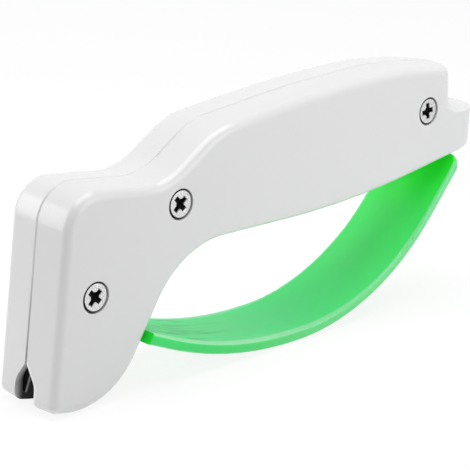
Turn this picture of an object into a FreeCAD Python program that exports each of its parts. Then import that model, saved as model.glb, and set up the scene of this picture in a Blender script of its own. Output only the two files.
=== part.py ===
import FreeCAD, Part
import math
import os

V = FreeCAD.Vector

# Pull-through knife sharpener, in millimetres.  +X runs from the head to the tail, -Y is the side
# with the screw heads, Z is up.  The tool stands on its head, with z = 0 on the table.

# Overall sizes
overall_length = 139.4       # front of the head to the tip of the tail
thickness = 18.8             # across both handle halves
draft = 0.6                  # how far each half tapers in from the seam to its side face
edge_round = 2.0             # rounding between the outline and the side faces
seam_groove = 0.3            # small bevel that makes the visible line between the halves

# Side outline, corner by corner: x from the front, z from the table, radius
toe_x = 0.27
toe_z = 1.4
toe_round = 2.5
heel_x = 17.15
heel_z = -3.3
heel_round = 18.5
neck_x = 37.2
grip_drop = 30.7             # crown down to the underside of the handle at the neck
neck_round = 21.7
belly_x = 90.4
belly_fall = 0.65            # how far the underside falls on its way to the belly
belly_round = 270.0
tail_rise = 8.7              # slope of the underside towards the tail, degrees
crown_back = 31.7            # from the tip of the tail to the highest corner of the top
crown_z = 60.9               # the drops are measured down from here
crown_round = 130.0
tail_fall = 7.0              # slope of the top towards the tail, degrees
back_x = 77.25
back_drop = 1.6
back_round = 400.0
shoulder_x = 46.8
shoulder_drop = 5.15
shoulder_round = 20.0
saddle_x = 31.8
saddle_drop = 15.1
saddle_round = 16.0
brow_x = 5.35
brow_drop = 11.9
brow_round = 8.5

# Stepped tail
ledge_drop = 14.1            # crown down to the tongue that reaches past the handle's end
ledge_reach = 8.5            # how far the tongue reaches past the upper end
ledge_round = 3.0            # inside corner above the tongue
tail_lean = 7.3              # the upper end leans forward, degrees

# Inside of the halves
wall = 2.4
head_floor = 21.0            # the head is solid below this height, round the blades
rib_count = 3
rib_first_x = 54.0
rib_pitch = 17.0
rib_thickness = 1.6

# Sharpening notch through the bottom of the head
notch_width = 6.4
notch_apex = 10.8
notch_shoulder = 6.2
notch_round = 4.0

# Carbide blades, crossed one behind the other
blade_length = 14.0
blade_width = 5.0
blade_thickness = 1.0
blade_lean = 22.0            # degrees from upright
blade_cross = 9.0            # height where the two cutting edges cross
blade_front_x = 3.0
blade_clearance = 0.08

# Screws: head, neck and tail
head_screw_x = 12.4
head_screw_z = 24.95
neck_screw_x = 35.8
neck_screw_drop = 20.3       # below the crown
tail_screw_back = 22.4       # from the tip of the tail
tail_screw_rise = 1.9        # above the ledge
screw_turn = (45.0, 40.0, 8.0)
recess_diameter = 7.0
recess_depth = 2.2
head_diameter = 6.4
head_height = 1.55
head_dome = 0.45
shank_diameter = 3.0
shank_length = 13.0
shank_clearance = 0.4
pilot_clearance = 0.1
boss_diameter = 8.6
cross_width = 1.0
cross_length = 3.5
cross_depth = 0.9

# Finger guard
guard_thickness = 2.64       # behind the head and under the fingers
guard_rear_thickness = 1.8   # up to the tail
guard_width = 21.0           # stands a little proud of both sides of the handle
guard_outer_round = 0.5      # rounding of its long edges, outside and on the fingers' side
guard_inner_round = 0.7
guard_low_z = 0.54           # its lowest line above the table
guard_entry_x = 28.6         # a point on its outer face behind the head
guard_entry_z = 10.29
guard_entry_fall = 23.3      # degrees
guard_front_round = 100.5
guard_rear_back = 38.5       # from the tip of the tail to the corner of its lowest and its rear line
guard_rear_rise = 48.9       # degrees
guard_rear_round = 61.3
guard_gap = 0.3              # between its shoulders and the body
guard_shoulder_round = 4.1   # its two corners under the grip
guard_end_short = 1.5        # how far its outer face stops before the grip there
tab_width = 9.6              # the narrow ends that sit in the body
tab_depth = 6.0
tab_clearance = 0.12

half = thickness / 2
mid = overall_length / 2
crown_x = overall_length - crown_back
ledge_z = crown_z - ledge_drop
grip_bottom = crown_z - grip_drop
belly_z = grip_bottom - belly_fall
guard_rear_x = overall_length - guard_rear_back
screw_x = (head_screw_x, neck_screw_x, overall_length - tail_screw_back)
screw_z = (head_screw_z, crown_z - neck_screw_drop, ledge_z + tail_screw_rise)


def at(x, y, z):
    return V(x - mid, y, z)


def direction(degrees):
    return math.cos(math.radians(degrees)), math.sin(math.radians(degrees))


def meet(p, a, q, b):
    # Crossing of the line through p along a with the line through q along b
    s = ((q[0] - p[0]) * b[1] - (q[1] - p[1]) * b[0]) / (a[0] * b[1] - a[1] * b[0])
    return p[0] + a[0] * s, p[1] + a[1] * s


def unit(p, q):
    length = math.hypot(q[0] - p[0], q[1] - p[1])
    return (q[0] - p[0]) / length, (q[1] - p[1]) / length


def inset(corners, distance, closed=True):
    # Corners (x, z, radius) of a counter-clockwise line, moved to its left by distance
    sides = []
    for i in range(len(corners) if closed else len(corners) - 1):
        p = corners[i]
        q = corners[(i + 1) % len(corners)]
        u = unit(p, q)
        sides.append(((p[0] - u[1] * distance, p[1] + u[0] * distance), u))
    moved = []
    for i, (x, z, radius) in enumerate(corners):
        if not closed and i in (0, len(corners) - 1):
            u = sides[min(i, len(sides) - 1)][1]
            moved.append((x - u[1] * distance, z + u[0] * distance, 0))
            continue
        a = sides[i - 1]
        b = sides[i]
        x, z = meet(a[0], a[1], b[0], b[1])
        left_turn = a[1][0] * b[1][1] - a[1][1] * b[1][0] > 0
        if radius:
            radius = radius - distance if left_turn else radius + distance
        moved.append((x, z, radius))
    return moved


def rounded(corners, y, closed=True):
    # Straight sides joined by tangent arcs, in the plane at this y
    count = len(corners)
    sides = count if closed else count - 1
    opening = [0.0] * count
    run = [0.0] * count
    for i, (x, z, radius) in enumerate(corners):
        if radius and (closed or 0 < i < count - 1):
            a = unit((x, z), corners[i - 1])
            b = unit((x, z), corners[(i + 1) % count])
            opening[i] = math.acos(a[0] * b[0] + a[1] * b[1])
            run[i] = radius / math.tan(opening[i] / 2)
    # An arc is limited by the straight sides it joins
    limit = [1.0] * count
    for i in range(sides):
        j = (i + 1) % count
        length = math.hypot(corners[j][0] - corners[i][0], corners[j][1] - corners[i][1])
        share = min(1.0, 0.98 * length / max(run[i] + run[j], 0.001))
        limit[i] = min(limit[i], share)
        limit[j] = min(limit[j], share)
    edges = []
    last = None
    first = None
    for i, (x, z, radius) in enumerate(corners):
        reach = run[i] * limit[i]
        begin = end = (x, z)
        if reach:
            a = unit((x, z), corners[i - 1])
            b = unit((x, z), corners[(i + 1) % count])
            begin = (x + a[0] * reach, z + a[1] * reach)
            end = (x + b[0] * reach, z + b[1] * reach)
        if last:
            edges.append(Part.makeLine(at(last[0], y, last[1]), at(begin[0], y, begin[1])))
        if reach:
            size = reach * math.tan(opening[i] / 2)
            depth = size / math.sin(opening[i] / 2) - size
            m = unit((0, 0), (a[0] + b[0], a[1] + b[1]))
            edges.append(Part.Arc(at(begin[0], y, begin[1]),
                                  at(x + m[0] * depth, y, z + m[1] * depth),
                                  at(end[0], y, end[1])).toShape())
        first = first or begin
        last = end
    if closed:
        edges.append(Part.makeLine(at(last[0], y, last[1]), at(first[0], y, first[1])))
    return Part.Wire(edges)


def prism(corners, y_from, y_to):
    face = Part.Face(rounded(corners, y_from))
    return face.extrude(V(0, y_to - y_from, 0))


def box(x0, x1, y0, y1, z0, z1):
    return Part.makeBox(x1 - x0, y1 - y0, z1 - z0, at(x0, y0, z0))


def rod(x, z, diameter, y_from, y_to):
    return Part.makeCylinder(diameter / 2, y_to - y_from, at(x, y_from, z), V(0, 1, 0))


def mirrored(shape):
    return shape.mirror(V(0, 0, 0), V(0, 1, 0))


def side_outline():
    past = overall_length + thickness
    bottom_x, bottom_z = meet((belly_x, belly_z), direction(tail_rise), (past, 0), (0, 1))
    top_x, top_z = meet((crown_x, crown_z), direction(-tail_fall), (past, 0), (0, 1))
    return [
        (toe_x, toe_z, toe_round),
        (heel_x, heel_z, heel_round),
        (neck_x, grip_bottom, neck_round),
        (belly_x, belly_z, belly_round),
        (bottom_x, bottom_z, 0),
        (top_x, top_z, 0),
        (crown_x, crown_z, crown_round),
        (back_x, crown_z - back_drop, back_round),
        (shoulder_x, crown_z - shoulder_drop, shoulder_round),
        (saddle_x, crown_z - saddle_drop, saddle_round),
        (brow_x, crown_z - brow_drop, brow_round),
    ]


def half_plan(end_x):
    # Top view of the near half: a straight side face and a half-round end
    turn = half * math.sqrt(0.5)
    centre = end_x - half
    front = -thickness
    return Part.Wire([
        Part.makeLine(at(front, 0, 0), at(front, -half, 0)),
        Part.makeLine(at(front, -half, 0), at(centre, -half, 0)),
        Part.Arc(at(centre, -half, 0), at(centre + turn, -turn, 0), at(end_x, 0, 0)).toShape(),
        Part.makeLine(at(end_x, 0, 0), at(front, 0, 0)),
    ])


def tail_cut():
    # What is missing above the tongue, behind the half-round upper end
    top = crown_z + thickness
    upper_end = overall_length - ledge_reach
    rise = V(-math.tan(math.radians(tail_lean)) * (top - ledge_z), 0, top - ledge_z)
    upper = Part.Face(half_plan(upper_end))
    upper.translate(V(0, 0, ledge_z))
    outer = Part.makePlane(overall_length, thickness, at(upper_end - half, -thickness, ledge_z))
    cut = outer.extrude(rise).cut(upper.extrude(rise))
    corner = [e for e in cut.Edges if e.BoundBox.ZLength < 0.001 and e.BoundBox.ZMax < ledge_z + 1
              and e.BoundBox.XLength < half + 0.001 and e.BoundBox.YLength > half - 0.001
              and e.BoundBox.YMin > -half - 0.001 and e.BoundBox.XLength > half - 0.001]
    return cut.makeFillet(ledge_round, corner)


def outer_edges(body):
    # The outline's edge on the side face, and its run round the two half-round ends
    upper_end = overall_length - ledge_reach
    found = []
    for e in body.Edges:
        p = e.valueAt((e.FirstParameter + e.LastParameter) / 2)
        x = p.x + mid
        on_side = abs(p.y + half) < 0.001
        upright = e.BoundBox.XLength < 0.3 * e.BoundBox.ZLength and x > upper_end - thickness
        on_ledge = x > upper_end - thickness and abs(p.z - ledge_z) < ledge_round
        round_end = -half < p.y < -0.001 and x > upper_end - half and e.BoundBox.YLength > 0.9 * half
        if (on_side or round_end) and not upright and not on_ledge:
            found.append(e)
    return found


def half_outside():
    corners = side_outline()
    depth = half + edge_round
    body = Part.makeLoft([rounded(corners, 0),
                          rounded(inset(corners, draft * depth / half), -depth)], True, True)
    plan = Part.Face(half_plan(overall_length))
    plan.translate(V(0, 0, -thickness))
    body = body.common(plan.extrude(V(0, 0, crown_z + 2 * thickness)))
    body = body.cut(tail_cut()).Solids[0]
    body = body.makeFillet(edge_round, outer_edges(body))
    seam = [e for e in body.Edges if abs(e.BoundBox.YMin) < 0.001 and abs(e.BoundBox.YMax) < 0.001]
    return body.makeChamfer(seam_groove, seam)


def cavity():
    # Hollow of one half, open at the seam, with ribs and screw bosses left standing
    tail_wall = screw_x[2] - boss_diameter
    hollow = prism(inset(side_outline(), wall + draft), 0, wall - half)
    hollow = hollow.common(box(0, tail_wall, -thickness, 0, head_floor, crown_z))
    for i in (0, 1):
        hollow = hollow.cut(rod(screw_x[i], screw_z[i], boss_diameter, -thickness, 0))
    for i in range(rib_count):
        x = rib_first_x + i * rib_pitch
        hollow = hollow.cut(box(x, x + rib_thickness, -thickness, 0, 0, crown_z))
    return hollow


def across(corners, x_from, x_to):
    # A profile given in (y, z, radius), run along X
    wire = rounded([(y + mid, z, radius) for y, z, radius in corners], 0)
    wire.rotate(V(0, 0, 0), V(0, 0, 1), 90)
    wire.translate(V(x_from - mid, 0, 0))
    return Part.Face(wire).extrude(V(x_to - x_from, 0, 0))


def notch():
    w = notch_width / 2
    bell = [(0, notch_apex, 0), (-w, notch_shoulder, notch_round), (-w, -thickness, 0),
            (w, -thickness, 0), (w, notch_shoulder, notch_round)]
    return across(bell, -thickness, neck_x)


def blade(index, grow=0.0):
    # A rectangular plate whose inner long edge crosses the middle at blade_cross
    lean = math.radians(blade_lean)
    side = 1 if index == 0 else -1
    down = (side * math.sin(lean), -math.cos(lean))
    out = (side * math.cos(lean), math.sin(lean))
    reach = blade_length / 2 + grow
    corners = []
    for a, b in ((-reach, -grow), (reach, -grow), (reach, blade_width + grow),
                 (-reach, blade_width + grow)):
        corners.append((down[0] * a + out[0] * b, blade_cross + down[1] * a + out[1] * b, 0))
    x = blade_front_x + index * blade_thickness
    return across(corners, x - grow, x + blade_thickness + grow)


def screw(index):
    x = screw_x[index]
    z = screw_z[index]
    seat = recess_depth - half
    rim = seat - head_height
    r = head_diameter / 2
    dome = Part.Arc(at(x, rim - head_dome, z), at(x + 0.6 * r, rim - 0.64 * head_dome, z),
                    at(x + r, rim, z)).toShape()
    profile = Part.Wire([
        dome,
        Part.makeLine(at(x + r, rim, z), at(x + r, seat, z)),
        Part.makeLine(at(x + r, seat, z), at(x, seat, z)),
        Part.makeLine(at(x, seat, z), at(x, rim - head_dome, z)),
    ])
    head = Part.Face(profile).revolve(at(x, 0, z), V(0, 1, 0), 360)
    for turn in (0, 90):
        slot = box(x - cross_length / 2, x + cross_length / 2, rim - head_dome,
                   rim - head_dome + cross_depth, z - cross_width / 2, z + cross_width / 2)
        slot.rotate(at(x, 0, z), V(0, 1, 0), screw_turn[index] + turn)
        head = head.cut(slot)
    shank = rod(x, z, shank_diameter, seat, seat + shank_length)
    tip = [e for e in shank.Edges if abs(e.BoundBox.YMin - seat - shank_length) < 0.001]
    shank = shank.makeChamfer(shank_diameter / 6, tip)
    return head.fuse(shank).removeSplitter()


def guard_line(rear_depth=tab_depth):
    # Outer face of the guard as an open line, from the end of its front tab to rear_depth inside the grip
    point = (guard_entry_x, guard_entry_z)
    fall = direction(-guard_entry_fall)
    rise = direction(guard_rear_rise)
    back = unit((heel_x, heel_z), (neck_x, grip_bottom))
    x0, z0 = meet(point, fall, (heel_x, heel_z), back)
    x1, z1 = meet((guard_rear_x, guard_low_z), rise, (belly_x, belly_z), direction(tail_rise))
    turn_x, turn_z = meet(point, fall, (0, guard_low_z), (1, 0))
    # The rear arc leaves a straight end for the two corners under the grip
    straight = guard_end_short + guard_shoulder_round + guard_rear_thickness
    run = math.hypot(x1 - guard_rear_x, z1 - guard_low_z) - straight
    rear_round = min(guard_rear_round, run / math.tan(math.radians(guard_rear_rise) / 2))
    return [
        (x0 - fall[0] * tab_depth, z0 - fall[1] * tab_depth, 0),
        (turn_x, turn_z, guard_front_round),
        (guard_rear_x, guard_low_z, rear_round),
        (x1 + rise[0] * rear_depth, z1 + rise[1] * rear_depth, 0),
    ]


def guard_inside(line, grow):
    # Its face on the fingers' side, closer to the outer face up the rear
    high = inset(line, guard_thickness + grow, False)
    rear = inset(line, guard_rear_thickness + grow, False)
    x, z = meet(high[1], unit(high[1], high[2]), rear[3], unit(rear[2], rear[3]))
    return [high[0], high[1], (x, z, rear[2][2]), rear[3]]


def guard_strip(width, grow=0.0, rear_depth=tab_depth):
    line = guard_line(rear_depth)
    if grow:
        a = unit(line[1], line[0])
        b = unit(line[2], line[3])
        line[0] = (line[0][0] + a[0] * grow, line[0][1] + a[1] * grow, 0)
        line[3] = (line[3][0] + b[0] * grow, line[3][1] + b[1] * grow, 0)
    low = rounded(inset(line, -grow, False), -width / 2 - grow, False)
    high = rounded(guard_inside(line, grow), -width / 2 - grow, False)
    ends = [Part.makeLine(low.OrderedVertexes[i].Point, high.OrderedVertexes[i].Point) for i in (0, -1)]
    face = Part.Face(Part.Wire(Part.__sortEdges__(low.Edges + high.Edges + ends)))
    return face.extrude(V(0, width + 2 * grow, 0))


def long_edges(strip):
    # Edges of the strip's two side faces
    return [e for e in strip.Edges if abs(e.BoundBox.YLength) < 0.001
            and abs(abs(e.Vertexes[0].Point.y) - guard_width / 2) < 0.001]


def finger_guard():
    # Full width outside the body, narrow tabs inside it
    strip = guard_strip(guard_width, rear_depth=-guard_end_short)
    top = max(e.CenterOfMass.z for e in long_edges(strip))
    shoulders = [e for e in long_edges(strip) if e.CenterOfMass.z > top - 0.001]
    strip = strip.makeFillet(guard_shoulder_round, shoulders)
    outer_line = rounded(guard_line(), 0, False)
    reach = guard_width / 2 + 0.001
    inner = [e for e in long_edges(strip)
             if min(v.distToShape(outer_line)[0] for v in e.Vertexes) > reach]
    strip = strip.makeFillet(guard_inner_round, inner)
    outer = [e for e in long_edges(strip)
             if max(v.distToShape(outer_line)[0] for v in e.Vertexes) < reach]
    strip = strip.makeFillet(guard_outer_round, outer)
    room = prism(inset(side_outline(), -guard_gap), -thickness, thickness)
    strip = strip.cut(room).Solids[0]
    return strip.fuse(guard_strip(tab_width)).removeSplitter()


def fittings():
    # Space in both halves for the blades, the guard's tabs and the knife
    space = notch()
    for index in (0, 1):
        space = space.fuse(blade(index, blade_clearance))
    return space.fuse(guard_strip(tab_width, tab_clearance))


def near_half(outside, hollow, space):
    body = outside.cut(hollow).cut(space)
    for x, z in zip(screw_x, screw_z):
        body = body.cut(rod(x, z, recess_diameter, -thickness, recess_depth - half))
        body = body.cut(rod(x, z, shank_diameter + shank_clearance, -thickness, thickness))
    return body


def far_half(outside, hollow, space):
    body = mirrored(outside).cut(mirrored(hollow)).cut(space)
    depth = recess_depth - half + shank_length + shank_clearance
    for x, z in zip(screw_x, screw_z):
        body = body.cut(rod(x, z, shank_diameter + pilot_clearance, -thickness, depth))
    return body


outside = half_outside()
hollow = cavity()
space = fittings()
pieces = {
    "handle_half_near": near_half(outside, hollow, space),
    "handle_half_far": far_half(outside, hollow, space),
    "finger_guard": finger_guard(),
    "carbide_blade_front": blade(0),
    "carbide_blade_rear": blade(1),
    "head_screw": screw(0),
    "neck_screw": screw(1),
    "tail_screw": screw(2),
}

# The origin is on the table, under the middle of the whole tool
whole = Part.Compound(list(pieces.values())).optimalBoundingBox(False, False)
centring = V(-whole.Center.x, 0, 0)

os.makedirs("parts", exist_ok=True)
for name, shape in pieces.items():
    piece = shape.Solids[0]
    piece.translate(centring)
    print(name, len(shape.Solids), "solid", round(piece.Volume, 1), "mm3", shape.isValid())
    piece.exportStep("parts/" + name + ".step")
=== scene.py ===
import math

import bmesh
import bpy
from mathutils import Euler, Matrix, Vector


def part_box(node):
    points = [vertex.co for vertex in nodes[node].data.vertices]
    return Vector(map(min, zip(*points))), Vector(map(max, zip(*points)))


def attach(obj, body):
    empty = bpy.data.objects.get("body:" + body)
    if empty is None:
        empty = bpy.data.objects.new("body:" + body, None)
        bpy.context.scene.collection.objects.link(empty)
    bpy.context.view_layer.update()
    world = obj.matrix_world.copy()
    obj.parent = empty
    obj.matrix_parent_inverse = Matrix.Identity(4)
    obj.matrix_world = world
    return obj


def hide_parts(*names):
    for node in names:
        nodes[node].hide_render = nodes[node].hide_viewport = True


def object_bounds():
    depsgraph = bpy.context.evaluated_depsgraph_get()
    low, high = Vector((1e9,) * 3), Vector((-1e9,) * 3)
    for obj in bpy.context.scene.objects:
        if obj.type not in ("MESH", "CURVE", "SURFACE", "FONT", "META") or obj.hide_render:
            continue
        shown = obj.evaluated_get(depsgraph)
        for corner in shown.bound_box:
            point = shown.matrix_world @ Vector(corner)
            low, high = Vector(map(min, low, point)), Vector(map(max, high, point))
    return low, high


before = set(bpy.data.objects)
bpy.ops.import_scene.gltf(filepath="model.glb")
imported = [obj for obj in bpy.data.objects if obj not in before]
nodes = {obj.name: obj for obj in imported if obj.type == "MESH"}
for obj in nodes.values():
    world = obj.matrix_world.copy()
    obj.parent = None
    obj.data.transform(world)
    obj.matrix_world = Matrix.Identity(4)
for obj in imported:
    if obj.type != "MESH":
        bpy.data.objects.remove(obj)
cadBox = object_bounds()
mm = 0.001
print("frame loaded:", len(nodes), "pieces")


class Wire:
    # a socket of a node tree: sums and products of values add Math nodes
    def __init__(self, tree, socket=None):
        self.tree = tree
        self.socket = socket

    def node(self, kind, settings=None, inputs=None, output=0):
        made = self.tree.nodes.new(kind)
        for name, value in (settings or {}).items():
            if name == "stops":
                setStops(made.color_ramp.elements, value)
            else:
                setattr(made, name, value)
        for name, value in (inputs or {}).items():
            # a list gives one socket several links
            for part in value if isinstance(value, list) else [value]:
                if isinstance(part, Wire):
                    self.tree.links.new(part.socket, made.inputs[name])
                else:
                    made.inputs[name].default_value = part
        return Wire(self.tree, made.outputs[output] if made.outputs else None)

    def math(self, operation, *values):
        return self.node("ShaderNodeMath", {"operation": operation}, dict(enumerate(values)))

    def __add__(self, other):
        return self.math("ADD", self, other)

    __radd__ = __add__

    def __sub__(self, other):
        return self.math("SUBTRACT", self, other)

    def __rsub__(self, other):
        return self.math("SUBTRACT", other, self)

    def __mul__(self, other):
        return self.math("MULTIPLY", self, other)

    __rmul__ = __mul__

    def __truediv__(self, other):
        return self.math("DIVIDE", self, other)

    def __rtruediv__(self, other):
        return self.math("DIVIDE", other, self)

    def __pow__(self, other):
        return self.math("POWER", self, other)

    def __neg__(self):
        return self.math("MULTIPLY", self, -1.0)

    def __abs__(self):
        return self.math("ABSOLUTE", self)


def setStops(elements, stops):
    while len(elements) < len(stops):
        elements.new(1.0)
    for element, (place, colour) in zip(elements, stops):
        element.position = place
        element.color = colour


def objectPlace(wire):
    return wire.node("ShaderNodeTexCoord", None, None, "Object")


def storedPlace(wire, name):  # places that the mesh carries as an attribute
    return wire.node("ShaderNodeAttribute", {"attribute_name": name}, None, "Vector")


def xyz(vector):
    return [vector.node("ShaderNodeSeparateXYZ", None, {0: vector}, axis) for axis in range(3)]


def vectorOf(wire, x, y, z):
    return wire.node("ShaderNodeCombineXYZ", None, {"X": x, "Y": y, "Z": z})


def radiusOf(x, y):
    return (x * x + y * y) ** 0.5


def ease(value, start, end):  # 0 before start, 1 after end, smooth between
    return value.node("ShaderNodeMapRange", {"interpolation_type": "SMOOTHSTEP"},
                      {"Value": value, "From Min": start, "From Max": end})


def fade(value, start, end):  # 1 before start, 0 after end
    return 1.0 - ease(value, start, end)


def swing(pattern, share):  # a noise about its middle
    return share * (pattern - 0.5)


def blendColour(factor, first, second):  # 6, 7 and 2 are the Mix node's sockets for colours
    return factor.node("ShaderNodeMix", {"data_type": "RGBA"}, {0: factor, 6: first, 7: second}, 2)


def noise(place, size, detail=2.0, roughness=0.5):  # size of the spots in metres
    return place.node("ShaderNodeTexNoise", None, {
        "Vector": place, "Scale": 1.0 / size, "Detail": detail, "Roughness": roughness})


def stretch(place, scale):
    return place.node("ShaderNodeMapping", None, {"Vector": place, "Scale": scale})


def bump(height, depth, strength=1.0):  # depth in metres
    return height.node("ShaderNodeBump", None, {
        "Height": height, "Distance": depth, "Strength": strength})


def newMaterial(name):
    material = bpy.data.materials.new(name)
    material.use_nodes = True
    material.node_tree.nodes.clear()
    return material, Wire(material.node_tree)


def finishMaterial(wire, inputs):
    shader = wire.node("ShaderNodeBsdfPrincipled", None, inputs)
    wire.node("ShaderNodeOutputMaterial", None, {"Surface": shader})


def dress(node, material):
    slots = nodes[node].data.materials
    for index in range(len(slots)):
        slots[index] = material


def addObject(name, data):
    made = bpy.data.objects.new(name, data)
    bpy.context.scene.collection.objects.link(made)
    return made


def keepMesh(name, mesh):  # a finished bmesh as mesh data
    data = bpy.data.meshes.new(name)
    mesh.to_mesh(data)
    mesh.free()
    return data


# camera at the photograph's angle, for a square picture
camera = {
    "place": (-0.268900, -0.263472, 0.145617),
    "turn": (72.1180, -1.5648, -44.1407),   # degrees about X, Y and Z
    "lens": 130.2,
    "sensor": 36.0,
    "nearClip": 10 * mm,
}


def makeCamera():
    data = bpy.data.cameras.new("photoCamera")
    data.lens = camera["lens"]
    data.sensor_width = camera["sensor"]
    data.clip_start = camera["nearClip"]
    made = addObject("photoCamera", data)
    turn = Euler([math.radians(angle) for angle in camera["turn"]]).to_matrix().to_4x4()
    made.matrix_world = Matrix.Translation(camera["place"]) @ turn
    bpy.context.scene.camera = made


makeCamera()
print("camera set")


# white moulded shell; a pair of numbers says where a change starts and where it ends
shell = {
    "colour": (0.83, 0.83, 0.835, 1.0),
    "cloudColour": (0.8176, 0.8176, 0.8267, 1.0),
    "cloudSize": 18 * mm,                       # faint clouds in the white
    "roughness": 0.2,
    "scuffSize": 4 * mm,
    "scuffStretch": (1.0, 1.0, 9.0),            # short upwards, long the other ways
    "scuffRoughness": 0.10,
    "peelSize": 1.3 * mm,
    "peelDepth": 0.004 * mm,                    # fine orange peel of the gloss
    "coat": 0.15,
    "finish": {"Subsurface Weight": 0.06,       # what is the same all over
               "Subsurface Radius": (0.9, 0.9, 1.0),
               "Subsurface Scale": 1.2 * mm,
               "Coat Roughness": 0.2},
    "faceSlope": 0.107,                         # the front face leans back by this
    "faceFoot": 0.15 * mm,
    "seamColour": (0.22, 0.22, 0.22, 1.0),
    "seamHalf": 0.2 * mm,
    "seamCore": 0.4,                            # share of its width that is fully dark
    "seamTop": 0.18,                            # how dark it is along the top
    "seamPatch": 9 * mm,                        # size of the patches in which it shows there
    "seamPatchRange": (0.36, 0.6),
    "seamLost": 0.8,                            # share of it that is gone behind the slope
    "seamLostRange": (-26 * mm, 0.0),
    "seamFront": 0.55,                          # how dark it is down the front
    "seamFrontDepth": (1.5 * mm, 4.0 * mm),
    "seamLeast": 0.02,                          # share of that at the top of the front
    "seamWiden": 0.2 * mm,                      # added down the front, towards the notch
    "seamWidenTop": 38 * mm,
    "notchHalf": 3.2 * mm,
    "notchApex": 10.8 * mm,
    "notchLean": 0.696,                         # half width gained for each step down from the apex
    "notchRound": 0.6 * mm,
    "rimHighlightColour": (0.99, 0.99, 0.99, 1.0),       # painted highlight along the edge of the notch on the near half
    "rimInner": (-0.02 * mm, 0.08 * mm),
    "rimOuter": (0.45 * mm, 0.65 * mm),
    "rimDepth": (0.5 * mm, 1.0 * mm),
    "notchShadeColour": (0.012, 0.012, 0.013, 1.0),   # painted shade deep in the notch, nearly black
    "notchShadeDepth": (-0.4 * mm, 1.9 * mm),
    "notchShadeHalf": (3.35 * mm, 3.65 * mm),
    "notchShadeTop": (11.2 * mm, 11.7 * mm),
    "notchShadeLeast": 0.96,                          # cover where it is thinnest
    "notchShadePatch": 0.8 * mm,
    "notchShadeRoughness": 0.65,
}


def seamShade(place, depth):
    x, y, z = xyz(place)
    widen = fade(z, shell["notchApex"], shell["seamWidenTop"])
    half = shell["seamHalf"] + widen * shell["seamWiden"]
    line = fade(abs(y) / half, shell["seamCore"], 1.0)
    onTop = ease(noise(place, shell["seamPatch"]), *shell["seamPatchRange"])
    onTop = onTop * (1.0 - shell["seamLost"] * ease(x, *shell["seamLostRange"]))
    onFront = fade(depth, *shell["seamFrontDepth"]) * (shell["seamLeast"] + widen)
    return line * (shell["seamTop"] * onTop + shell["seamFront"] * onFront)


# painted highlight: a white band beside the notch's edge, on the near half's front
def notchRimHighlight(place, depth):
    _, y, z = xyz(place)
    leaning = (shell["notchApex"] - z) * shell["notchLean"]
    beside = -y - place.math("SMOOTH_MIN", shell["notchHalf"], leaning, shell["notchRound"])
    rimHighlight = ease(beside, *shell["rimInner"]) * fade(beside, *shell["rimOuter"])
    return rimHighlight * fade(depth, *shell["rimDepth"]) * fade(z, shell["notchApex"], shell["notchShadeTop"][0])


# painted shade deep inside the notch
def paintedNotchShade(place, depth):
    _, y, z = xyz(place)
    notchShade = ease(depth, *shell["notchShadeDepth"]) * fade(abs(y), *shell["notchShadeHalf"])
    return notchShade * fade(z, *shell["notchShadeTop"])


def makeShell():
    material, wire = newMaterial("whiteShell")
    place = objectPlace(wire)
    x, _, z = xyz(place)
    frontX = cadBox[0][0] + shell["faceFoot"]
    depth = x - (z * shell["faceSlope"] + frontX)  # behind the front face
    cloud = noise(place, shell["cloudSize"], detail=3.0)
    colour = blendColour(cloud, shell["cloudColour"], shell["colour"])
    colour = blendColour(seamShade(place, depth), colour, shell["seamColour"])
    # painted highlight along the notch's edge
    colour = blendColour(notchRimHighlight(place, depth), colour, shell["rimHighlightColour"])
    # painted shade in the notch, patchy, with rougher and uncoated gloss there
    notchShade = paintedNotchShade(place, depth)
    shadePatch = noise(place, shell["notchShadePatch"], detail=4.0, roughness=0.6)
    cover = notchShade * (shell["notchShadeLeast"] + (1.0 - shell["notchShadeLeast"]) * shadePatch)
    colour = blendColour(cover, colour, shell["notchShadeColour"])
    scuff = noise(stretch(place, shell["scuffStretch"]), shell["scuffSize"], detail=4.0, roughness=0.65)
    roughness = shell["roughness"] + swing(scuff, shell["scuffRoughness"])
    finishMaterial(wire, {
        **shell["finish"],
        "Base Color": colour,
        "Roughness": roughness + shell["notchShadeRoughness"] * notchShade,
        "Coat Weight": shell["coat"] * (1.0 - notchShade),
        "Normal": bump(noise(place, shell["peelSize"]), shell["peelDepth"]),
    })
    return material


shellMaterial = makeShell()
for half in ("handle_half_near", "handle_half_far"):
    dress(half, shellMaterial)
print("shell dressed")
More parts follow.
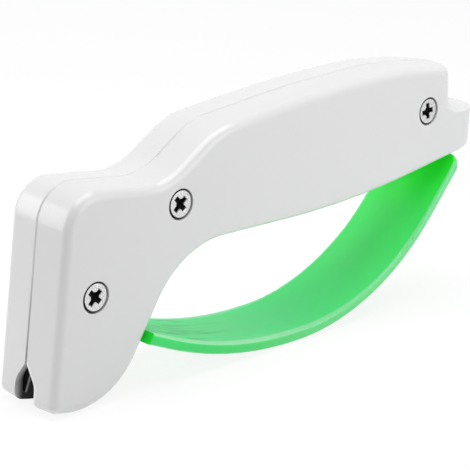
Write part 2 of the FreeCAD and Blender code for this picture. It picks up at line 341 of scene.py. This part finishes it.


# green guard strip, its colour changing a little along its length, and painted lighter at the tail,
# where it lies in shade under the handle
guard = {
    "colours": [(-30 * mm, (0.000, 0.96, 0.240, 1.0)),   # from the head to the tail
                (6 * mm, (0.016, 0.83, 0.205, 1.0)),
                (34 * mm, (0.058, 0.81, 0.172, 1.0)),
                (46 * mm, (0.060, 0.85, 0.142, 1.0)),
                (57 * mm, (0.010, 0.98, 0.020, 1.0))],
    "flowSize": 14 * mm,
    "flowStretch": (0.35, 1.0, 1.0),
    "flowShift": 6 * mm,                                # how far it moves those colours
    "flowRoughness": 0.12,
    "headRange": (-35 * mm, -5 * mm),                   # the part near the head ends here
    "headRoughness": 0.1,                               # added towards the head
    "streakColour": (0.0, 0.50, 0.09, 1.0),             # flow marks of the moulding near the head
    "streakSize": 1.5 * mm,
    "streakStretch": (0.12, 1.0, 0.25),
    "streakRange": (0.48, 0.66),
    "streakShare": 0.75,
    "edgeHighlightHead": (0.38, 0.90, 0.50, 1.0),                # painted highlight, paler, on the rounded long edges
    "edgeHighlightTail": (0.21, 0.80, 0.33, 1.0),
    "edgeChange": (-15 * mm, 30 * mm),
    "edgeStart": 8.0 * mm,                              # distance from the middle, sideways
    "edgeFull": 9.9 * mm,
    "edgeNarrow": 1.5 * mm,                             # taken off that pale band towards the tail
    "paintedSideHead": (0.05, 0.83, 0.19, 1.0),                # painted light: the flat sides paler, at the head and further back
    "paintedSideTail": (0.19, 0.85, 0.31, 1.0),
    "sideChange": (-38 * mm, 30 * mm),
    "sideRange": (10.4 * mm, 10.49 * mm),
    "endShadeColour": (0.0, 0.90, 0.04, 1.0),                # painted shade, deeper green where it meets the head
    "endSlope": 0.6,                                    # that end leans back by this
    "endPlace": -50.58 * mm,
    "endRange": (0.1 * mm, 0.9 * mm),
    "roughness": 0.36,
    "grainSize": 0.6 * mm,
    "grainDepth": 0.0015 * mm,
    "grainRoughness": 0.05,
    "finish": {"Subsurface Weight": 0.4,
               "Subsurface Radius": (0.2, 1.0, 0.3),
               "Subsurface Scale": 1.2 * mm,
               "Specular IOR Level": 0.5},
}


def alongGuard(x):  # the ramp of colours from the first stop to the last
    start = guard["colours"][0][0]
    length = guard["colours"][-1][0] - start
    stops = [((stop - start) / length, shade) for stop, shade in guard["colours"]]
    return x.node("ShaderNodeValToRGB", {"stops": stops}, {0: (x - start) / length})


def makeGuard():
    material, wire = newMaterial("greenGuard")
    place = objectPlace(wire)
    x, y, z = xyz(place)
    flow = noise(stretch(place, guard["flowStretch"]), guard["flowSize"], detail=3.0)
    # the bright tail stop is painted light, lifting the part in shade under the handle
    colour = alongGuard(x + swing(flow, guard["flowShift"]))
    nearHead = fade(x, *guard["headRange"])
    streak = noise(stretch(place, guard["streakStretch"]), guard["streakSize"], detail=3.0)
    streak = guard["streakShare"] * nearHead * ease(streak, *guard["streakRange"])
    colour = blendColour(streak, colour, guard["streakColour"])
    # painted highlight on the rounded long edges, narrower towards the tail
    towardsTail = ease(x, *guard["edgeChange"])
    edgeStart = guard["edgeStart"] + towardsTail * guard["edgeNarrow"]
    edgeHighlightColour = blendColour(towardsTail, guard["edgeHighlightHead"], guard["edgeHighlightTail"])
    colour = blendColour(ease(abs(y), edgeStart, guard["edgeFull"]), colour, edgeHighlightColour)
    # painted light on the flat sides
    paintedSideColour = blendColour(ease(x, *guard["sideChange"]), guard["paintedSideHead"], guard["paintedSideTail"])
    colour = blendColour(ease(abs(y), *guard["sideRange"]), colour, paintedSideColour)
    # painted shade on the end against the head
    fromHead = x - z * guard["endSlope"] - guard["endPlace"]
    colour = blendColour(fade(fromHead, *guard["endRange"]), colour, guard["endShadeColour"])
    grain = noise(place, guard["grainSize"], detail=1.0)
    roughness = guard["roughness"] + nearHead * guard["headRoughness"]
    roughness = roughness + swing(flow, guard["flowRoughness"]) + swing(grain, guard["grainRoughness"])
    finishMaterial(wire, {
        **guard["finish"],
        "Base Color": colour,
        "Roughness": roughness,
        "Normal": bump(grain, guard["grainDepth"]),
    })
    return material


dress("finger_guard", makeGuard())
print("guard dressed")


# cross-head screws, their places and lengths from the frame
screw = {
    "turns": {"head_screw": 45.0, "neck_screw": 40.0, "tail_screw": 8.0},   # degrees
    "shoulder": 8.0,            # power of the head's outline: higher is squarer
    "crownRise": 0.45 * mm,     # rim up to the crown
    "rimDrop": 1.1 * mm,        # rim down to the seat
    "seatShare": 0.6,           # share of that drop at which the shank starts
    "headGrid": (41, 97),       # points along the outline and round it
    "crossLength": 4.5 * mm,
    "crossWidth": 1.35 * mm,
    "crossDepth": 1.1 * mm,
    "crossTaper": 0.45,
    "crossMouth": 0.15 * mm,    # the recess is cut from this far above the crown
    "webTop": 1.925 * mm,       # the recess widens to a diamond in the middle
    "webFoot": 0.525 * mm,
    "webDepth": 1.375 * mm,
    "shankRadius": 1.32 * mm,
    "shankGrid": (81, 49),
    "threadPitch": 1.15 * mm,
    "threadDepth": 0.2 * mm,
    "tipLength": 1.6 * mm,
    "tipPower": 0.6,            # roundness of the point: lower is blunter
    "mergeGap": 0.002 * mm,
    "smoothAngle": 35.0,        # degrees
    "steel": (0.80, 0.80, 0.805, 1.0),
    "steelDull": (0.52, 0.52, 0.53, 1.0),
    "speckSize": 0.35 * mm,
    "speckRange": (0.35, 0.65),
    "ringPitch": 0.16 * mm,     # turning marks
    "ringDepth": 0.004 * mm,
    "ringStrength": 0.6,
    "ringRoughness": 0.05,
    "wobbleSize": 0.7 * mm,
    "wobbleTurn": 2.5,          # radians that the marks wander by
    "shade": (0.003, 0.003, 0.003, 1.0),
    "sunkRadius": (2.35 * mm, 2.5 * mm),      # painted shade in the driver recess
    "sunkHeight": (-0.3 * mm, -0.06 * mm),
    "gapRadius": (2.92 * mm, 3.04 * mm),      # painted shade in the gap round the head, wider on its front side
    "gapShift": 0.17 * mm,
    "shadeMetal": 0.95,         # share of the metal look that is lost in the painted shade
    "shadeRoughness": 0.25,
    "roughness": 0.26,
    "finish": {"Specular IOR Level": 0.1},
}


def makeSteel():
    material, wire = newMaterial("platedSteel")
    place = storedPlace(wire, "screwPlace")
    x, y, z = xyz(place)
    radius = radiusOf(x, y)
    wobble = screw["wobbleTurn"] * noise(place, screw["wobbleSize"])
    ring = wire.math("SINE", radius * (2 * math.pi / screw["ringPitch"]) + wobble)
    # painted shade in the driver recess and, off-centre, in the gap round the head
    sunk = fade(radius, *screw["sunkRadius"]) * fade(z, *screw["sunkHeight"])
    gap = ease(radiusOf(x - screw["gapShift"], y), *screw["gapRadius"])
    paintedShade = wire.math("MAXIMUM", sunk, gap)
    speck = ease(noise(place, screw["speckSize"], detail=3.0), *screw["speckRange"])
    steel = blendColour(speck, screw["steel"], screw["steelDull"])
    roughness = screw["roughness"] + screw["ringRoughness"] * ring
    finishMaterial(wire, {
        **screw["finish"],
        "Base Color": blendColour(paintedShade, steel, screw["shade"]),
        "Metallic": 1.0 - screw["shadeMetal"] * paintedShade,
        "Roughness": roughness + screw["shadeRoughness"] * paintedShade,
        "Normal": bump(ring, screw["ringDepth"], screw["ringStrength"]),
    })
    return material


def treeInput(tree, name, kind):
    return tree.interface.new_socket(name, in_out="INPUT", socket_type=kind).identifier


def lathe(wire, counts, shape):
    # a grid rolled up: shape gives radius and height from its two places, both 0 to 1
    grid = wire.node("GeometryNodeMeshGrid", None, {
        "Size X": 1.0, "Size Y": 1.0, "Vertices X": counts[0], "Vertices Y": counts[1]})
    u, v, _ = xyz(wire.node("GeometryNodeInputPosition"))
    radius, height = shape(u + 0.5, v + 0.5)
    angle = (v + 0.5) * (2 * math.pi)
    x = radius * wire.math("COSINE", angle)
    y = radius * wire.math("SINE", angle)
    place = vectorOf(wire, x, y, height)
    moved = wire.node("GeometryNodeSetPosition", None, {"Geometry": grid, "Position": place})
    return wire.node("GeometryNodeMergeByDistance", None, {
        "Geometry": moved, "Distance": screw["mergeGap"]})


def crossArm(wire, turn):
    # one tapered arm of the driver recess, its mouth a little above the crown
    cube = wire.node("GeometryNodeMeshCube", None, {"Size": (1.0, 1.0, 1.0)})
    x, y, z = xyz(wire.node("GeometryNodeInputPosition"))
    share = 1.0 - screw["crossTaper"] * (0.5 - z)
    place = vectorOf(wire, x * screw["crossLength"] * share, y * screw["crossWidth"] * share,
                     (z - 0.5) * screw["crossDepth"] + screw["crossMouth"])
    arm = wire.node("GeometryNodeSetPosition", None, {"Geometry": cube, "Position": place})
    return wire.node("GeometryNodeTransform", None, {"Geometry": arm, "Rotation": (0.0, 0.0, turn)})


def crossWeb(wire):
    web = wire.node("GeometryNodeMeshCone", None, {
        "Vertices": 4, "Radius Top": screw["webTop"], "Radius Bottom": screw["webFoot"],
        "Depth": screw["webDepth"]})
    return wire.node("GeometryNodeTransform", None, {
        "Geometry": web, "Translation": (0.0, 0.0, screw["crossMouth"] - screw["webDepth"])})


def smoothFaces(wire, whole):  # smooth all over, apart from sharp edges
    angle = wire.node("GeometryNodeInputMeshEdgeAngle")
    sharp = wire.math("GREATER_THAN", angle, math.radians(screw["smoothAngle"]))
    whole = wire.node("GeometryNodeSetShadeSmooth", {"domain": "FACE"}, {
        "Geometry": whole, "Shade Smooth": True})
    return wire.node("GeometryNodeSetShadeSmooth", {"domain": "EDGE"}, {
        "Geometry": whole, "Selection": sharp, "Shade Smooth": False})


def makeScrewTree(material):
    tree = bpy.data.node_groups.new("crossHeadScrew", "GeometryNodeTree")
    sizes = {name: treeInput(tree, name, "NodeSocketFloat") for name in (
        "Head Radius", "Crown Rise", "Rim Drop", "Shank Length", "Cross Turn")}
    sizes["Place"] = treeInput(tree, "Place", "NodeSocketVector")
    tree.interface.new_socket("Geometry", in_out="OUTPUT", socket_type="NodeSocketGeometry")
    wire = Wire(tree)
    given = tree.nodes.new("NodeGroupInput")
    size = {name: Wire(tree, given.outputs[name]) for name in sizes}

    def headShape(u, v):  # a squared-off oval, flatter above the rim than below
        bend = u * math.pi
        level = wire.math("COSINE", bend)
        power = 2.0 / screw["shoulder"]
        radius = size["Head Radius"] * wire.math("MAXIMUM", wire.math("SINE", bend), 0.0) ** power
        above = wire.math("GREATER_THAN", level, 0.0)
        rise = above * size["Crown Rise"] - (1.0 - above) * size["Rim Drop"]
        return radius, rise * abs(level) ** power - size["Crown Rise"]

    def shankShape(u, v):  # a thread that winds down to a point, closed at its first ring
        length = size["Shank Length"]
        seat = -(size["Crown Rise"] + screw["seatShare"] * size["Rim Drop"])
        along = u * length
        turnPlace = wire.math("FRACT", along / screw["threadPitch"] + v)
        crest = 1.0 - abs(turnPlace - 0.5) * 2.0
        tip = wire.math("MINIMUM", (length - along) / screw["tipLength"], 1.0) ** screw["tipPower"]
        radius = (screw["shankRadius"] + screw["threadDepth"] * (crest - 0.5)) * tip
        return radius * wire.math("GREATER_THAN", u, 0.5 / screw["shankGrid"][0]), seat - along

    head = lathe(wire, screw["headGrid"], headShape)
    shank = lathe(wire, screw["shankGrid"], shankShape)
    cutters = [crossArm(wire, 0.0), crossArm(wire, math.pi / 2), crossWeb(wire)]
    cut = wire.node("GeometryNodeMeshBoolean", {"operation": "DIFFERENCE", "solver": "EXACT"}, {
        "Mesh 1": head, "Mesh 2": cutters})
    whole = wire.node("GeometryNodeJoinGeometry", None, {0: [cut, shank]})
    whole = smoothFaces(wire, whole)
    turned = vectorOf(wire, 0.0, 0.0, size["Cross Turn"])
    whole = wire.node("GeometryNodeTransform", None, {"Geometry": whole, "Rotation": turned})
    kept = {"data_type": "FLOAT_VECTOR", "domain": "POINT"}
    whole = wire.node("GeometryNodeStoreNamedAttribute", kept, {
        "Geometry": whole, "Name": "screwPlace", "Value": wire.node("GeometryNodeInputPosition")})
    whole = wire.node("GeometryNodeTransform", None, {
        "Geometry": whole, "Rotation": (math.pi / 2, 0.0, 0.0), "Translation": size["Place"]})
    whole = wire.node("GeometryNodeRealizeInstances", None, {"Geometry": whole})
    whole = wire.node("GeometryNodeSetMaterial", None, {"Geometry": whole, "Material": material})
    wire.node("NodeGroupOutput", None, {0: whole})
    return tree, sizes


def growMesh(name, tree, values):
    # run the node tree once and keep its result as a plain mesh
    grown = addObject(name, bpy.data.meshes.new(name))
    modifier = grown.modifiers.new("tree", "NODES")
    modifier.node_group = tree
    for identifier, value in values.items():
        modifier[identifier] = value
    bpy.context.view_layer.update()
    graph = bpy.context.evaluated_depsgraph_get()
    result = bpy.data.meshes.new_from_object(grown.evaluated_get(graph), depsgraph=graph)
    grown.modifiers.remove(modifier)
    grown.data = result
    result.name = name
    return grown


steelMaterial = makeSteel()
screwTree, screwSizes = makeScrewTree(steelMaterial)
headDepth = screw["crownRise"] + screw["seatShare"] * screw["rimDrop"]   # crown down to the shank
for nodeName, turn in screw["turns"].items():
    low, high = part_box(nodeName)
    piece = growMesh(nodeName.replace("_screw", "ScrewSteel"), screwTree, {
        screwSizes["Head Radius"]: (high.x - low.x) / 2,
        screwSizes["Crown Rise"]: screw["crownRise"],
        screwSizes["Rim Drop"]: screw["rimDrop"],
        screwSizes["Shank Length"]: high.y - low.y - headDepth,
        screwSizes["Cross Turn"]: math.radians(turn),
        screwSizes["Place"]: ((low.x + high.x) / 2, low.y, (low.z + high.z) / 2),
    })
    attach(piece, "root")
    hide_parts(nodeName)
    print(piece.name, len(piece.data.polygons), "faces")


# carbide plates, crossed one behind the other
blade = {
    "length": 14.0 * mm,
    "width": 5.0 * mm,
    "lean": 22.0,               # degrees from upright
    "cross": 9.0 * mm,          # height where the cutting edges cross
    "edgeBreak": 0.12 * mm,
    "breakSteps": 2,
    "face": (0.004, 0.004, 0.005, 1.0),
    "ground": (0.20, 0.20, 0.205, 1.0),
    "landWidth": (0.02 * mm, 0.32 * mm),      # ground land along the cutting edge
    "landDepth": (-0.2 * mm, 0.05 * mm),
    "metal": 0.05,
    "landMetal": 0.6,           # added on the land
    "roughness": 0.42,
    "grindPitch": 0.09 * mm,
    "grindStretch": (1.0, 0.04, 0.04),
    "grindRoughness": 0.2,
    "grindDepth": 0.003 * mm,
    "grindStrength": 0.7,
    "pitSize": 0.05 * mm,
    "pitRoughness": 0.1,
    "finish": {"Specular IOR Level": 0.1},
}


def makeCarbide():
    material, wire = newMaterial("carbide")
    place = storedPlace(wire, "bladePlace")
    _, across, deep = xyz(place)
    grind = noise(stretch(place, blade["grindStretch"]), blade["grindPitch"], detail=3.0, roughness=0.6)
    pits = noise(place, blade["pitSize"], roughness=0.7)
    land = fade(across, *blade["landWidth"]) * fade(deep, *blade["landDepth"])
    roughness = blade["roughness"] + swing(grind, blade["grindRoughness"])
    finishMaterial(wire, {
        **blade["finish"],
        "Base Color": blendColour(land, blade["face"], blade["ground"]),
        "Metallic": blade["metal"] + blade["landMetal"] * land,
        "Roughness": roughness + swing(pits, blade["pitRoughness"]),
        "Normal": bump(grind, blade["grindDepth"], blade["grindStrength"]),
    })
    return material


def plateMesh(name, thick):
    # a plate with broken edges: X along the cutting edge, Y across from it, Z through
    mesh = bmesh.new()
    bmesh.ops.create_cube(mesh, size=1.0)
    for vert in mesh.verts:
        along, across, deep = vert.co
        vert.co = (along * blade["length"], (across + 0.5) * blade["width"], deep * thick)
    bmesh.ops.bevel(mesh, geom=mesh.edges[:], offset=blade["edgeBreak"], segments=blade["breakSteps"],
                    affect="EDGES", profile=0.5)
    bmesh.ops.recalc_face_normals(mesh, faces=mesh.faces[:])
    plate = keepMesh(name, mesh)
    kept = plate.attributes.new("bladePlace", "FLOAT_VECTOR", "POINT")
    for index, vert in enumerate(plate.vertices):
        kept.data[index].vector = vert.co
    return plate


def makeBlade(name, nodeName, side, material):
    low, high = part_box(nodeName)
    plate = plateMesh(name, high.x - low.x)
    lean = math.radians(blade["lean"])
    down = Vector((0.0, side * math.sin(lean), -math.cos(lean)))
    out = Vector((0.0, side * math.cos(lean), math.sin(lean)))
    turn = Matrix((down, out, down.cross(out))).transposed().to_4x4()
    middle = Vector(((low.x + high.x) / 2, 0.0, blade["cross"]))
    plate.transform(Matrix.Translation(middle) @ turn)
    plate.materials.append(material)
    piece = addObject(name, plate)
    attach(piece, "root")
    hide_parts(nodeName)
    print(name, len(plate.polygons), "faces")


carbideMaterial = makeCarbide()
makeBlade("frontBlade", "carbide_blade_front", 1, carbideMaterial)
makeBlade("rearBlade", "carbide_blade_rear", -1, carbideMaterial)


# pale floor and soft studio light
studio = {
    "floorHalf": 3.0,
    "floorCells": 4,
    "floorColour": (0.86, 0.86, 0.86, 1.0),
    "floorPale": (0.88, 0.88, 0.88, 1.0),
    "floorPatch": 0.2,
    "floorGlow": 0.872,        # white that the camera sees, beside the lit floor
    "floorShadow": 0.17,       # share of the lit floor, which holds the shadow
    "worldColour": (1.0, 1.0, 1.0, 1.0),
    "worldLevel": 0.1,
    "worldSeen": 1.0,          # level that the camera sees
    "lamps": {                 # place, aim, side of the square, watts
        "overhead": ((0.0, 0.0, 0.9), (0.0, 0.0, 0.03), 0.9, 7.1),
        "farLeft": ((-0.67, 0.6, 0.2), (-0.03, 0.0, 0.03), 0.8, 4.75),
        "tailSide": ((0.06, -0.25, 0.12), (0.03, 0.0, 0.04), 0.2, 0.262),
    },
}


def seenDirectly(wire):
    # 1 where the camera, a reflection or glass looks, 0 for the light that bounces
    rays = [wire.node("ShaderNodeLightPath", None, None, name)
            for name in ("Is Camera Ray", "Is Glossy Ray", "Is Transmission Ray")]
    return wire.math("MINIMUM", rays[0] + rays[1] + rays[2], 1.0)


def makePaleFloor():
    material, wire = newMaterial("paleFloor")
    patch = noise(objectPlace(wire), studio["floorPatch"])
    tone = blendColour(patch, studio["floorColour"], studio["floorPale"])
    matte = wire.node("ShaderNodeBsdfDiffuse", None, {"Color": tone})
    whiteShare = 1.0 - studio["floorShadow"]
    white = wire.node("ShaderNodeEmission", None, {"Strength": studio["floorGlow"] / whiteShare})
    factor = whiteShare * seenDirectly(wire)
    shader = wire.node("ShaderNodeMixShader", None, {0: factor, 1: matte, 2: white})
    wire.node("ShaderNodeOutputMaterial", None, {"Surface": shader})
    return material


def makeFloor():
    mesh = bmesh.new()
    cells = studio["floorCells"]
    bmesh.ops.create_grid(mesh, x_segments=cells, y_segments=cells, size=studio["floorHalf"])
    data = keepMesh("floor", mesh)
    data.materials.append(makePaleFloor())
    floor = addObject("floor", data)


def makeLamps():
    for name, (place, aim, size, watts) in studio["lamps"].items():
        data = bpy.data.lights.new(name, "AREA")
        data.shape = "SQUARE"
        data.size = size
        data.energy = watts
        made = addObject(name, data)
        made.location = place
        made.rotation_euler = (Vector(aim) - Vector(place)).to_track_quat("-Z", "Y").to_euler()


def makeWorld():
    world = bpy.data.worlds.new("studio")
    world.use_nodes = True
    world.node_tree.nodes.clear()
    bpy.context.scene.world = world
    wire = Wire(world.node_tree)
    soft, white = [wire.node("ShaderNodeBackground", None, {
        "Color": studio["worldColour"], "Strength": level})
        for level in (studio["worldLevel"], studio["worldSeen"])]
    shader = wire.node("ShaderNodeMixShader", None, {0: seenDirectly(wire), 1: soft, 2: white})
    wire.node("ShaderNodeOutputWorld", None, {"Surface": shader})


makeFloor()
makeLamps()
makeWorld()
bpy.context.scene.view_settings.view_transform = "Standard"
print("studio lit")
